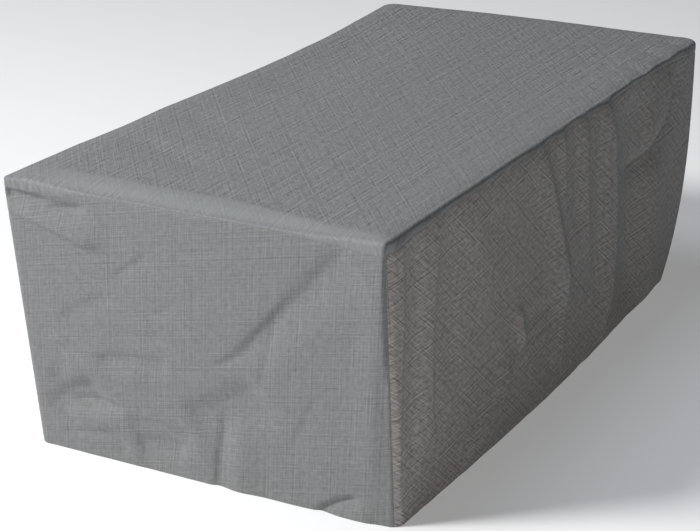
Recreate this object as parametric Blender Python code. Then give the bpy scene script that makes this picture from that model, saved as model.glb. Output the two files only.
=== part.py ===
"""Fitted cover of a rectangular garden table, in the shape in which it hangs, with the table left out.

Five panels of one coated linen-look cloth are sewn edge to edge: a top panel, whose rim turns down
over the table's edge to a seam, and four walls, which hang from that seam to the floor and lean
inwards on the way. They meet in a seam down each corner, and each hem is part of its wall.

Lengths are in metres. +X runs along the table and +Z is up. The origin is on the underside of the top
panel, at its middle, where the table's top carries the cover.
"""

import functools
import math
from collections import namedtuple

import bmesh
import bpy
import numpy as np

# The cloth, and the sizes that drive the whole cover.
CLOTH = 0.002  # thickness of the coated cloth
SEAM_GAP = 0.0004  # clearance between two panels that are sewn edge to edge
HEIGHT = 0.708  # from the hem to the top of the cover
RIM_DROP = 0.034  # from the top of the cover to the seam, at a corner
RISE_LENGTH = 0.330  # length over which the seam rises from a corner to its level along a wall
EDGE_RADIUS = 0.012  # the turn of the cloth over the table's edge
EDGE_FALL = 0.003  # how far the top has fallen where that turn begins
EDGE_ZONE = 0.060  # the margin of the top panel that turns over the edge
TOP_LEVEL = CLOTH
FLOOR = TOP_LEVEL - HEIGHT

# How finely each panel is divided.
EDGE_MARGIN = 0.036  # inset of the extra ring between the flat and the turn
EDGE_ANGLES = (0.0, 32.0, 62.0, 90.0)  # degrees round the turn, before the rim's last drop
ARC_COLUMNS = 4  # columns in each wall's half of a corner
CURVE_STEPS = 16  # straight steps along the middle line of a fold
FOLD_FADE = 0.22  # share of a fold's length over which it dies away at each end

# One row for each corner, in the order in which the walls run round the cover. top and hem are the
# sharp corner points at the seam and at the floor, and lean is the power by which a corner moves from
# the one to the other on its way down.
Corner = namedtuple("Corner", "top hem top_radius hem_radius lean")
CORNERS = (
    Corner((-0.971, 0.505), (-0.903, 0.490), 0.018, 0.026, 1.0),
    Corner((-0.970, -0.493), (-0.901, -0.490), 0.012, 0.036, 1.0),
    Corner((0.988, -0.509), (0.896, -0.478), 0.046, 0.056, 3.2),
    Corner((0.968, 0.495), (0.888, 0.478), 0.044, 0.055, 2.0),
)

# One row for each fold: a ridge if its height is above zero and a trough if it is below. Its middle
# line is a curve from start to end, drawn towards bend. On a wall a point is (metres right of the
# wall's middle, as seen from outside, metres above the floor), and on the top panel it is (x, y).
Fold = namedtuple("Fold", "start bend end width height")

NEAR_END_FOLDS = (
    Fold((0.40, 0.69), (0.20, 0.48), (0.00, 0.31), 0.024, -0.010),  # long slanting trough
    Fold((0.46, 0.62), (0.27, 0.44), (0.08, 0.25), 0.045, 0.006),  # swell below it
    Fold((0.48, 0.70), (0.45, 0.45), (0.43, 0.05), 0.035, 0.004),  # swell beside the near corner
    Fold((0.02, 0.22), (0.02, 0.10), (0.00, -0.06), 0.020, -0.006),  # crease that runs out at the hem
    Fold((0.07, 0.22), (0.07, 0.10), (0.05, -0.06), 0.035, 0.005),
    Fold((-0.52, 0.668), (-0.40, 0.665), (-0.26, 0.650), 0.018, -0.008),  # pocket under the seam
    Fold((-0.47, 0.640), (-0.36, 0.61), (-0.24, 0.560), 0.028, 0.006),
    Fold((-0.42, 0.16), (-0.32, 0.19), (-0.20, 0.15), 0.026, -0.006),  # crumples near the hem
    Fold((-0.40, 0.24), (-0.28, 0.22), (-0.12, 0.30), 0.035, 0.005),
    Fold((-0.38, 0.11), (-0.30, 0.13), (-0.22, 0.10), 0.028, 0.005),
    Fold((0.25, -0.02), (0.32, 0.04), (0.41, 0.06), 0.022, -0.006),  # lift of the hem
    Fold((0.30, -0.05), (0.36, 0.02), (0.44, 0.01), 0.030, 0.005),
)
RIGHT_SIDE_FOLDS = (
    Fold((-1.05, 0.686), (0.00, 0.690), (1.05, 0.684), 0.018, -0.005),  # tuck under the rolled edge
    Fold((-0.952, 0.74), (-0.948, 0.55), (-0.945, 0.33), 0.016, -0.008),  # groove at the near corner
    Fold((-0.870, 0.76), (-0.872, 0.40), (-0.865, -0.04), 0.030, 0.006),
    Fold((-0.820, 0.76), (-0.822, 0.40), (-0.825, -0.04), 0.026, -0.004),
    Fold((-0.720, 0.74), (-0.725, 0.40), (-0.690, 0.05), 0.050, 0.006),
    Fold((-0.620, 0.70), (-0.610, 0.45), (-0.590, 0.20), 0.045, -0.004),
    Fold((-0.480, 0.72), (-0.470, 0.55), (-0.400, 0.36), 0.050, 0.005),
    Fold((-0.130, 0.74), (0.040, 0.44), (0.080, 0.10), 0.042, 0.010),
    Fold((0.080, 0.36), (0.085, 0.15), (0.080, -0.08), 0.034, 0.006),
    Fold((0.045, 0.76), (0.050, 0.64), (0.060, 0.50), 0.026, 0.006),
    Fold((0.110, 0.76), (0.110, 0.60), (0.120, 0.40), 0.028, -0.005),
    Fold((0.200, 0.76), (0.205, 0.52), (0.230, 0.28), 0.034, 0.008),
    Fold((0.285, 0.74), (0.285, 0.50), (0.300, 0.10), 0.034, -0.005),
    Fold((0.365, 0.76), (0.375, 0.36), (0.410, -0.08), 0.050, 0.013),
    Fold((0.500, 0.74), (0.500, 0.36), (0.530, -0.08), 0.060, -0.008),
    Fold((0.640, 0.60), (0.650, 0.30), (0.660, -0.06), 0.060, 0.006),
    Fold((0.480, 0.44), (0.850, 0.38), (0.860, 0.72), 0.034, -0.006),
    Fold((0.600, 0.54), (0.700, 0.52), (0.780, 0.66), 0.045, 0.006),
    Fold((-0.250, 0.33), (-0.240, 0.24), (-0.150, 0.20), 0.022, 0.006),  # small curl
    Fold((-0.190, 0.28), (-0.100, 0.25), (0.020, 0.27), 0.028, -0.005),
    Fold((-0.600, -0.02), (-0.330, 0.06), (-0.080, 0.22), 0.055, 0.007),
)
FAR_END_FOLDS = (
    Fold((-0.330, 0.76), (-0.340, 0.50), (-0.300, 0.10), 0.050, 0.008),
    Fold((-0.210, 0.74), (-0.200, 0.45), (-0.170, 0.15), 0.050, -0.006),
    Fold((-0.020, 0.76), (0.050, 0.48), (0.030, -0.06), 0.055, 0.008),
    Fold((0.330, 0.72), (0.180, 0.46), (0.120, 0.20), 0.045, -0.007),
    Fold((0.390, 0.70), (0.330, 0.30), (0.350, -0.05), 0.055, 0.007),
)
LEFT_SIDE_FOLDS = (
    Fold((-0.760, 0.76), (-0.740, 0.40), (-0.700, -0.05), 0.060, 0.009),
    Fold((-0.600, 0.74), (-0.590, 0.45), (-0.560, 0.10), 0.055, -0.007),
    Fold((-0.420, 0.76), (-0.400, 0.38), (-0.360, -0.08), 0.060, 0.012),
    Fold((-0.260, 0.74), (-0.250, 0.42), (-0.200, 0.05), 0.050, -0.006),
    Fold((-0.060, 0.76), (0.020, 0.48), (0.120, 0.16), 0.055, 0.009),
    Fold((0.300, 0.72), (0.240, 0.40), (0.260, -0.05), 0.060, 0.008),
    Fold((0.520, 0.70), (0.440, 0.36), (0.360, 0.04), 0.055, -0.006),
    Fold((0.680, 0.76), (0.690, 0.46), (0.660, 0.10), 0.060, 0.007),
)
TOP_FOLDS = (
    Fold((-0.972, 0.47), (-0.968, 0.02), (-0.978, -0.47), 0.052, -0.006),  # fall to the near edge
    Fold((-1.250, 0.50), (-0.800, 0.50), (-0.300, 0.50), 0.050, -0.007),  # and to the left edge
    Fold((-0.720, 0.08), (-0.680, 0.22), (-0.550, 0.46), 0.045, -0.003),
    Fold((-0.500, 0.12), (-0.440, 0.28), (-0.270, 0.46), 0.050, -0.0025),
    Fold((-0.845, 0.24), (-0.855, -0.05), (-0.845, -0.36), 0.030, -0.002),
    Fold((0.250, -0.44), (0.560, -0.42), (0.900, -0.43), 0.050, 0.002),
    Fold((-0.100, 0.36), (0.330, 0.30), (0.720, 0.38), 0.120, -0.005),
)

# One row for each wall. It runs from its own corner to the next one. The bows push the middle of its
# top and of its hem outwards, the sag lowers its edge, and peak says how far along they are greatest.
# The rise is how much nearer to the top its seam lies along the wall than at its corners.
Wall = namedtuple("Wall", "outward top_bow hem_bow sag peak rise columns rows folds")
WALLS = {
    "near_end_wall": Wall((-1, 0), 0.002, 0.004, 0.001, 0.50, 0.018, 26, 20, NEAR_END_FOLDS),
    "right_side_wall": Wall((0, -1), -0.004, 0.022, 0.002, 0.47, 0.016, 48, 18, RIGHT_SIDE_FOLDS),
    "far_end_wall": Wall((1, 0), 0.022, 0.010, 0.001, 0.55, 0.015, 18, 12, FAR_END_FOLDS),
    "left_side_wall": Wall((0, 1), -0.016, 0.014, 0.013, 0.36, 0.015, 30, 12, LEFT_SIDE_FOLDS),
}
WALL_LIST = tuple(WALLS.values())
TOP_COLUMNS = 36  # across the flat of the top panel, along X
TOP_ROWS = 20  # and along Y

CLOTH_COLOUR = (0.22, 0.222, 0.218, 1.0)
CLOTH_ROUGHNESS = 0.85


def smooth(value):
    """The smooth step from 0 to 1."""
    value = np.clip(value, 0.0, 1.0)
    return value * value * (3.0 - 2.0 * value)


def turned(vector, angle):
    """The plane vector turned anticlockwise by an angle in radians."""
    cos, sin = math.cos(angle), math.sin(angle)
    return np.array((vector[0] * cos - vector[1] * sin, vector[0] * sin + vector[1] * cos))


@functools.cache
def fold_curve(fold):
    """Points along the middle line of a fold."""
    start, bend, end = (np.array(point) for point in (fold.start, fold.bend, fold.end))
    share = np.linspace(0.0, 1.0, CURVE_STEPS + 1)[:, None]
    return (1 - share) ** 2 * start + 2 * share * (1 - share) * bend + share**2 * end


def fold_height(folds, place):
    """How far the folds push the cloth outwards at a place on its panel."""
    height = 0.0
    for fold in folds:
        curve = fold_curve(fold)
        step = curve[1:] - curve[:-1]
        offset = place - curve[:-1]
        share = np.clip((offset * step).sum(1) / (step * step).sum(1), 0.0, 1.0)
        distance = np.linalg.norm(offset - share[:, None] * step, axis=1)
        nearest = int(distance.argmin())
        done = (nearest + share[nearest]) / CURVE_STEPS
        ends = smooth(done / FOLD_FADE) * smooth((1.0 - done) / FOLD_FADE)
        height += fold.height * ends * math.exp(-((distance[nearest] / fold.width) ** 2))
    return float(height)


def corner_at(index, drop):
    """Sharp point and rounding radius of a corner, at a share of the drop from the seam to the hem."""
    corner = CORNERS[index % len(CORNERS)]
    share = drop**corner.lean
    point = np.array(corner.top) * (1 - share) + np.array(corner.hem) * share
    return point, corner.top_radius * (1 - share) + corner.hem_radius * share


def direction_between(start, end):
    """Unit vector from one point to another."""
    return (end - start) / np.linalg.norm(end - start)


def outline_corner(index, drop, inset):
    """Point, radius and turn of a corner of the outline that lies inset within the cover's own."""
    before, (point, radius), after = (corner_at(index + step, drop) for step in (-1, 0, 1))
    incoming = direction_between(before[0], point)
    outgoing = direction_between(point, after[0])
    outwards = turned(incoming, -math.pi / 2), turned(outgoing, -math.pi / 2)
    inner = point - inset * (outwards[0] + outwards[1]) / (1 + outwards[0] @ outwards[1])
    turn = math.acos(float(incoming @ outgoing))
    return inner, max(radius - inset, 0.0), turn


def round_corner(corner, direction, length, side):
    """Point and outward direction at a length from a corner's middle, along one of its two walls.

    direction is that wall's own direction, and side is +1 where the wall starts at the corner and -1
    where it ends there.
    """
    point, radius, turn = corner
    outward = turned(direction, -math.pi / 2)
    tangent = radius * math.tan(turn / 2)
    half_arc = radius * turn / 2
    if length >= half_arc:
        return point + side * direction * (tangent + length - half_arc), outward
    centre = point + side * direction * tangent - outward * radius
    radial = turned(outward, -side * (half_arc - length) / radius)
    return centre + radial * radius, radial


def half_length(index):
    """Half the length of a wall's seam between its sharp corner points."""
    return np.linalg.norm(np.subtract(CORNERS[(index + 1) % 4].top, CORNERS[index].top)) / 2


def share_along(index, along):
    """Share of a wall's bow and sag at a distance from its middle: none at its ends, 1 at its peak."""
    share = min(max((along + half_length(index)) / (2 * half_length(index)), 0.0), 1.0)
    warped = share ** (math.log(0.5) / math.log(WALL_LIST[index].peak))
    return 16 * (warped * (1 - warped)) ** 2


def seam_drop(index, along):
    """Drop from the top of the cover to a wall's seam, before the sag, at a distance along the wall."""
    from_corner = half_length(index) - abs(along)
    return RIM_DROP - WALL_LIST[index].rise * smooth(from_corner / RISE_LENGTH)


def along_wall(index, point):
    """Distance of a point from the wall's middle, to the right as seen from outside."""
    return float(turned(WALL_LIST[index].outward, math.pi / 2) @ point)


def wall_point(index, place, drop):
    """Point and outward direction of a wall.

    place runs from -1 at the middle of its first corner to 0 where the arc ends, to 1 where the next
    arc starts and to 2 at the middle of that corner. drop runs from 0 at the seam to 1 at the hem.
    """
    wall = WALL_LIST[index]
    first, last = (outline_corner(index + step, drop, 0.0) for step in (0, 1))
    direction = direction_between(first[0], last[0])
    half_arcs = [radius * turn / 2 for point, radius, turn in (first, last)]
    if place < 0:
        length = max((1 + place) * half_arcs[0], SEAM_GAP / 2)
        point, radial = round_corner(first, direction, length, 1)
    elif place > 1:
        length = max((2 - place) * half_arcs[1], SEAM_GAP / 2)
        point, radial = round_corner(last, direction, length, -1)
    else:
        start, radial = round_corner(first, direction, half_arcs[0], 1)
        end, radial = round_corner(last, direction, half_arcs[1], -1)
        point = start * (1 - place) + end * place
    along = along_wall(index, point)
    share = share_along(index, along)
    bow = wall.top_bow * (1 - drop) + wall.hem_bow * drop
    seam = TOP_LEVEL - seam_drop(index, along) - wall.sag * share - SEAM_GAP
    level = seam * (1 - drop) + FLOOR * drop
    hold = smooth(1 + min(place, 1 - place, 0.0))
    fold = hold * fold_height(wall.folds, (along, level - FLOOR))
    point = point + np.array(wall.outward) * bow * share + radial * fold
    return np.array((*point, level)), np.array((*radial, 0.0))


def sheet(name, outer, radials=None):
    """A closed sheet of the cloth, CLOTH thick, on a grid of points of its outer face.

    The sheet's own edges are cut square to the outward direction, so that two panels that meet there
    keep an even gap. radials gives that direction for the first and last columns.
    """
    columns, rows = outer.shape[:2]
    bm = bmesh.new()
    face = [[bm.verts.new(point) for point in column] for column in outer]
    for i in range(columns - 1):
        for j in range(rows - 1):
            bm.faces.new((face[i][j], face[i + 1][j], face[i + 1][j + 1], face[i][j + 1]))
    bm.normal_update()
    back = []
    for i in range(columns):
        back.append([])
        for j in range(rows):
            normal = np.array(face[i][j].normal)
            if radials is not None and i in (0, columns - 1):
                normal = radials[i][j]
            elif j in (0, rows - 1) or i in (0, columns - 1):
                normal[2] = 0.0
                normal /= np.linalg.norm(normal)
            back[i].append(bm.verts.new(outer[i, j] - CLOTH * normal))
    for i in range(columns - 1):
        for j in range(rows - 1):
            bm.faces.new((back[i][j], back[i][j + 1], back[i + 1][j + 1], back[i + 1][j]))
        bm.faces.new((face[i][0], back[i][0], back[i + 1][0], face[i + 1][0]))
        bm.faces.new((face[i][-1], face[i + 1][-1], back[i + 1][-1], back[i][-1]))
    for j in range(rows - 1):
        bm.faces.new((face[0][j], face[0][j + 1], back[0][j + 1], back[0][j]))
        bm.faces.new((face[-1][j], back[-1][j], back[-1][j + 1], face[-1][j + 1]))
    mesh = bpy.data.meshes.new(name)
    bm.to_mesh(mesh)
    bm.free()
    mesh.shade_smooth()
    mesh.set_sharp_from_angle(angle=math.radians(60))
    return mesh


def wall_mesh(name, index):
    """One wall, from its hem up to its seam, between the middles of its two corners."""
    wall = WALL_LIST[index]
    places = np.concatenate((
        np.linspace(-1, 0, ARC_COLUMNS + 1)[:-1],
        np.linspace(0, 1, wall.columns + 1),
        np.linspace(1, 2, ARC_COLUMNS + 1)[1:],
    ))
    drops = np.linspace(1, 0, wall.rows + 1)
    found = [[wall_point(index, place, drop) for drop in drops] for place in places]
    outer = np.array([[point for point, radial in column] for column in found])
    radials = [[radial for point, radial in column] for column in found]
    return sheet(name, outer, radials)


def edge_rings():
    """Inset from the outline and drop from the top, for each ring from the flat to the seam.

    The last one's drop is None, since the seam has a drop of its own all along.
    """
    rings = [(EDGE_MARGIN, EDGE_FALL / 3)]
    for angle in EDGE_ANGLES:
        sin, cos = math.sin(math.radians(angle)), math.cos(math.radians(angle))
        rings.append((EDGE_RADIUS * (1 - sin), EDGE_FALL + EDGE_RADIUS * (1 - cos)))
    return rings + [(0.0, None)]


def flat_point(share_x, share_y):
    """Point of the flat of the top panel, before its bow and sag."""
    corners = [outline_corner(index, 0.0, EDGE_ZONE)[0] for index in range(4)]
    low = corners[1] * (1 - share_x) + corners[2] * share_x
    high = corners[0] * (1 - share_x) + corners[3] * share_x
    return low * (1 - share_y) + high * share_y


def ring_point(index, share, start, inset, corner_share):
    """Point, outward direction and hold on a fold, of a ring of the turn over one wall's edge.

    start is the point of the flat's edge, at a share along the wall, and corner_share says how far
    the point lies towards the middle of the corner beyond that edge's end.
    """
    first, last = (outline_corner(index + step, 0.0, inset) for step in (0, 1))
    direction = direction_between(first[0], last[0])
    radial = turned(direction, -math.pi / 2)
    point = start + radial * (EDGE_ZONE - inset)
    if not corner_share:
        return point, radial, 1.0
    corner, side = (first, 1) if share == 0.0 else (last, -1)
    half_arc = corner[1] * corner[2] / 2
    straight = abs(direction @ (point - corner[0])) - corner[1] * math.tan(corner[2] / 2)
    length = (1 - corner_share) * (straight + half_arc)
    point, radial = round_corner(corner, direction, length, side)
    return point, radial, smooth(length / half_arc) if half_arc else 1.0


def top_bow_and_sag(point):
    """Bow in the plane and sag of the top panel at a point, as the four walls' seams have them."""
    bow, sag = np.zeros(2), 0.0
    for index, wall in enumerate(WALL_LIST):
        outward = np.array(wall.outward)
        reach = abs(outward @ CORNERS[index].top) - EDGE_RADIUS
        share = smooth(float(outward @ point) / reach) * share_along(index, along_wall(index, point))
        bow = bow + outward * wall.top_bow * share
        sag += wall.sag * share
    return bow, sag


def top_point(column, row, rings):
    """Point of the top panel at a place in its grid: the flat, then the rings down to the seam."""
    beyond_x = max(len(rings) - column, column - len(rings) - TOP_COLUMNS, 0)
    beyond_y = max(len(rings) - row, row - len(rings) - TOP_ROWS, 0)
    share_x = min(max((column - len(rings)) / TOP_COLUMNS, 0.0), 1.0)
    share_y = min(max((row - len(rings)) / TOP_ROWS, 0.0), 1.0)
    point = flat_point(share_x, share_y)
    ring = max(beyond_x, beyond_y)
    if not ring:
        bow, sag = top_bow_and_sag(point)
        return np.array((*(point + bow), TOP_LEVEL + fold_height(TOP_FOLDS, point) - sag))
    inset, drop = rings[ring - 1]
    if beyond_x >= beyond_y:
        index, share = (0, 1 - share_y) if column < len(rings) else (2, share_y)
    else:
        index, share = (1, share_x) if row < len(rings) else (3, 1 - share_x)
    point, radial, hold = ring_point(index, share, point, inset, min(beyond_x, beyond_y) / ring)
    bow, sag = top_bow_and_sag(point)
    along = along_wall(index, point)
    seam = seam_drop(index, along)
    drop = seam if drop is None else drop
    at_seam = (along, TOP_LEVEL - seam - sag - FLOOR)
    fold = hold * smooth(drop / seam) * fold_height(WALL_LIST[index].folds, at_seam)
    lift = smooth(1 - drop / (EDGE_FALL + EDGE_RADIUS)) * fold_height(TOP_FOLDS, point)
    return np.array((*(point + bow + radial * fold), TOP_LEVEL - drop + lift - sag))


def top_mesh(name):
    """The top panel, with its rim down to the seam."""
    rings = edge_rings()
    columns = range(TOP_COLUMNS + 2 * len(rings) + 1)
    rows = range(TOP_ROWS + 2 * len(rings) + 1)
    return sheet(name, np.array([[top_point(i, j, rings) for j in rows] for i in columns]))


def cloth_material():
    """The grey coated polyester cloth of every panel."""
    material = bpy.data.materials.new("coated_linen_look_cloth")
    material.use_nodes = True
    shader = material.node_tree.nodes["Principled BSDF"]
    shader.inputs["Base Color"].default_value = CLOTH_COLOUR
    shader.inputs["Roughness"].default_value = CLOTH_ROUGHNESS
    shader.inputs["Metallic"].default_value = 0.0
    material.diffuse_color = CLOTH_COLOUR
    return material


def main():
    for obj in list(bpy.data.objects):
        bpy.data.objects.remove(obj, do_unlink=True)
    material = cloth_material()
    cover = bpy.data.objects.new("table_cover", None)
    bpy.context.scene.collection.objects.link(cover)
    meshes = [top_mesh("top_panel")]
    meshes += [wall_mesh(name, index) for index, name in enumerate(WALLS)]
    for mesh in meshes:
        mesh.materials.append(material)
        panel = bpy.data.objects.new(mesh.name, mesh)
        panel.parent = cover
        bpy.context.scene.collection.objects.link(panel)


main()
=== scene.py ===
"""The looks of a fitted cover for a rectangular garden table.

Each panel of the cover is a thin sheet of coated cloth on a fine grid. It follows the hang of the
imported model, panel by panel, and adds the seams' puckers and the cloth's own creases. Lengths are in
metres. +X runs along the table, +Z is up, and the origin is on the underside of the top panel.
"""

import functools
import logging
import math
from dataclasses import dataclass
from enum import Enum
from typing import ClassVar

import bpy
import numpy as np
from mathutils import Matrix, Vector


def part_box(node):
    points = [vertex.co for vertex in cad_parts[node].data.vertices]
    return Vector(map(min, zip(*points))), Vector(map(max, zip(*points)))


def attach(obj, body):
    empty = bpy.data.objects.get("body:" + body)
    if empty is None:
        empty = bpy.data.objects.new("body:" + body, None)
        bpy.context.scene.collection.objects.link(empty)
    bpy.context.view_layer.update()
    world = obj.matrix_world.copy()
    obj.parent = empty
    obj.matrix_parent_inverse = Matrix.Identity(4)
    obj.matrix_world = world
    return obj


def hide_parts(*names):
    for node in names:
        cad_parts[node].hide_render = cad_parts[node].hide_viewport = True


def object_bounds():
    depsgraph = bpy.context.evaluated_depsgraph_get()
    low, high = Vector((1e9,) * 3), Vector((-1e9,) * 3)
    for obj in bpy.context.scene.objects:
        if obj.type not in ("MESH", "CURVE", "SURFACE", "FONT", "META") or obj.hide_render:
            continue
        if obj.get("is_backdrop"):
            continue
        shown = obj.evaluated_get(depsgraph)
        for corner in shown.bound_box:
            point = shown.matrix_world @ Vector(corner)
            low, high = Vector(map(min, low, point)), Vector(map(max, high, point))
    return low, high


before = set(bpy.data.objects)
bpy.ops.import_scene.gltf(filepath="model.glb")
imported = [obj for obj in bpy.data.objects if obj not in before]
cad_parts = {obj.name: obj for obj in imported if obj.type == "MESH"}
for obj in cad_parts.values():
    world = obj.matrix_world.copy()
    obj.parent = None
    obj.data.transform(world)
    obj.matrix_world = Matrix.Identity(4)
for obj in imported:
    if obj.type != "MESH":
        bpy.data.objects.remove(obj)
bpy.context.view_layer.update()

LOG = logging.getLogger("table_cover")

Point2 = tuple[float, float]
Tree = bpy.types.NodeTree
Socket = bpy.types.NodeSocket

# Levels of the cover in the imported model.
TOP_LEVEL = 0.002  # the top panel's thickness there, above the origin on its underside
FLOOR = round(float(min(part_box(name)[0][2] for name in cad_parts)), 3)

# The sizes that drive the turn over the table's edge.
RIM_DROP = 0.034  # from the top of the cover to the seam, at a corner
RIM_LAY = RIM_DROP / 3  # how much of the print lies on the rim below the turn
RISE_LENGTH = 0.330  # length over which the seam rises from a corner to its level along a wall
EDGE_RADIUS = 0.012  # the turn of the cloth over the table's edge
EDGE_FALL = 0.003  # how far the top has fallen where that turn begins
EDGE_ZONE = 0.060  # the margin of the top panel that turns over the edge
SEAM_GAP = 0.0002  # clearance between two panels that are sewn edge to edge

# The shape of a fold.
FOLD_FADE = 0.22  # share of its length over which it dies away at each end
FOLD_REACH = 3.2  # widths from its middle line beyond which it isn't felt
CREASE_ROUNDING = 0.03  # of a crease's line, in square widths
LAP_STEEPNESS = 2.6  # how many times as steep a lap is on its right

# The finer make-up of the cloth.
SHEET = 0.0010  # thickness of the coated cloth itself
HEM_WIDTH = 0.022  # the turned and sewn hem, two layers thick
HEM_LAYER = 0.0007  # how much its second layer adds on the inside
HEM_STEP = 0.0015  # height over which that layer begins
GROOVE_DEPTH = 0.0010  # how far a seam draws its two edges in
GROOVE_REACH = 0.0030  # how far from the seam that draw is felt
CORNER_DRAW = 0.3  # share of that draw at the walls' own seams
CORNER_DRAW_START = 0.010  # how far under the top seam it is full
PUCKER_HEIGHT = 0.0003  # the seams' puckers, and how far they run into the cloth
PUCKER_REACH = 0.013
PUCKER_LENGTH = 0.017  # from one pucker to the next
CORNER_PUCKER_START = 0.020  # how far under the top seam the corners' puckers are full
SEAM_CALM = 0.060  # margins along the top seam and the corners where seams keep the cloth smooth
CORNER_CALM = 0.080
EASE = 1.004  # how much fuller a wall is cut than its straight measures
ROUNDED = 0.995  # share of the top's rectangle that is left inside its round corners

# The fineness of the meshes.
FINEST_ROW = 0.0012  # the row of faces next to a seam
ROW_GROWTH = 1.35  # from each row to the next
SHARP_EDGE = math.radians(60)

# The print's wear, and how much of its ink the painted highlight on the top's rolled near edge takes away.
INK_UNDER_HIGHLIGHT = 0.6  # share of the ink that is gone under the painted highlight along the top's rolled near edge
FRESH_FROM = -0.10  # along a panel, where its ink begins to be fresher, and over what length
FRESH_LENGTH = 0.80


def smooth(value: np.ndarray | float) -> np.ndarray:
    """The smooth step from 0 to 1."""
    value = np.clip(value, 0.0, 1.0)
    return value * value * (3.0 - 2.0 * value)


def turned(vector: np.ndarray, angle: float) -> np.ndarray:
    """The plane vector turned anticlockwise by an angle in radians."""
    cos, sin = math.cos(angle), math.sin(angle)
    return np.array((vector[0] * cos - vector[1] * sin, vector[0] * sin + vector[1] * cos))


def linear(hex_colour: str) -> tuple[float, float, float, float]:
    """Turn an sRGB hex colour to linear light.

    Args:
        hex_colour: Six hex digits, with or without a leading #.

    Returns:
        Red, green, blue and an alpha of 1.
    """
    digits = hex_colour.lstrip("#")
    levels = [int(digits[i : i + 2], 16) / 255 for i in (0, 2, 4)]
    found = [c / 12.92 if c <= 0.04045 else ((c + 0.055) / 1.055) ** 2.4 for c in levels]
    return (*found, 1.0)


class Form(Enum):
    """How a fold's section runs from its middle line outwards."""

    SOFT = "an even swell or trough"
    CREASE = "a narrow line with long low feet"
    LAP = "a swell that falls steeply on its right, as seen from start to end"


@dataclass(frozen=True)
class Fold:
    """One fold of a panel: a ridge if its height is above zero, and a trough if it is below.

    Its middle line is a curve from start to end, drawn towards bend. On a wall a point is (metres
    right of the wall's middle, as seen from outside, metres above the floor), and on the top (x, y).
    """

    start: Point2
    bend: Point2
    end: Point2
    width: float
    height: float
    form: Form = Form.SOFT
    steps: int = 16

    def line(self) -> np.ndarray:
        """Draw the middle line.

        Returns:
            Points along it, as an array of (steps + 1, 2).
        """
        start, bend, end = (np.array(point) for point in (self.start, self.bend, self.end))
        share = np.linspace(0.0, 1.0, self.steps + 1)[:, None]
        return (1 - share) ** 2 * start + 2 * share * (1 - share) * bend + share**2 * end

    def section(self, offset: np.ndarray) -> np.ndarray:
        """Find the fold's section.

        Args:
            offset: Signed distances from the middle line, in widths, above zero on its right.

        Returns:
            The share of the height at each of them.
        """
        if self.form is Form.CREASE:
            return np.exp(-2.0 * (np.sqrt(offset**2 + CREASE_ROUNDING) - math.sqrt(CREASE_ROUNDING)))
        if self.form is Form.LAP:
            return np.exp(-((np.where(offset > 0, LAP_STEEPNESS, 1.0) * offset) ** 2))
        return np.exp(-(offset**2))

    def heights(self, places: np.ndarray) -> np.ndarray:
        """Work out how far this fold lifts the cloth.

        Args:
            places: Points on the panel, as an array of (n, 2).

        Returns:
            The height at each point.
        """
        line = self.line()
        reach = FOLD_REACH * self.width
        near = ((places > line.min(0) - reach) & (places < line.max(0) + reach)).all(1)
        found = np.zeros(len(places))
        at = places[near]
        best = np.full(len(at), np.inf)
        signed, done = np.zeros(len(at)), np.zeros(len(at))
        for number, (start, end) in enumerate(zip(line[:-1], line[1:])):
            step = end - start
            offset = at - start
            share = np.clip(offset @ step / (step @ step), 0.0, 1.0)
            distance = np.linalg.norm(offset - share[:, None] * step, axis=1)
            side = np.where(offset[:, 1] * step[0] - offset[:, 0] * step[1] > 0, -1.0, 1.0)
            closer = distance < best
            best = np.where(closer, distance, best)
            signed = np.where(closer, side * distance, signed)
            done = np.where(closer, (number + share) / self.steps, done)
        ends = smooth(done / FOLD_FADE) * smooth((1.0 - done) / FOLD_FADE)
        found[near] = self.height * ends * self.section(signed / self.width)
        return found


def fold_table(*rows: tuple) -> tuple[Fold, ...]:
    """Make a panel's folds from a table in millimetres.

    Args:
        rows: Start, bend, end, width, height and form of each fold. The form may be left out.

    Returns:
        The folds, in metres.
    """
    made = []
    for start, bend, end, width, height, *form in rows:
        line = [(right / 1000, up / 1000) for right, up in (start, bend, end)]
        made.append(Fold(*line, width / 1000, height / 1000, *form))
    return tuple(made)


def fold_heights(found: tuple[Fold, ...], places: np.ndarray) -> np.ndarray:
    """Add up how far folds lift the cloth.

    Args:
        found: The folds.
        places: Points on the panel, with the two coordinates on the last axis.

    Returns:
        The height at each point.
    """
    flat = places.reshape(-1, 2)
    total = sum((fold.heights(flat) for fold in found), np.zeros(len(flat)))
    return total.reshape(places.shape[:-1])


@dataclass(frozen=True)
class Rumple:
    """Low random waves of the stiff coated cloth, the same on each run."""

    seed: int
    height: float
    shortest: float = 0.045
    longest: float = 0.190
    waves: int = 26
    bend_lengths: float = 3.1  # each wave's crest sways once in this many of its lengths

    def heights(self, places: np.ndarray) -> np.ndarray:
        """Add up the waves.

        Args:
            places: Points on the panel, with the two coordinates on the last axis.

        Returns:
            The height at each point.
        """
        draw = np.random.default_rng(self.seed)
        total = np.zeros(places.shape[:-1])
        for _ in range(self.waves):
            length = self.shortest * (self.longest / self.shortest) ** draw.random()
            heading, phase = draw.random(2) * 2 * math.pi
            across = places[..., 0] * math.cos(heading) + places[..., 1] * math.sin(heading)
            bend_length = self.bend_lengths * length
            bend = np.sin(2 * math.pi * (places[..., 0] - places[..., 1]) / bend_length + phase)
            total += length / self.longest * np.sin(2 * math.pi * across / length + phase + bend)
        return self.height * total / math.sqrt(self.waves)


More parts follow.
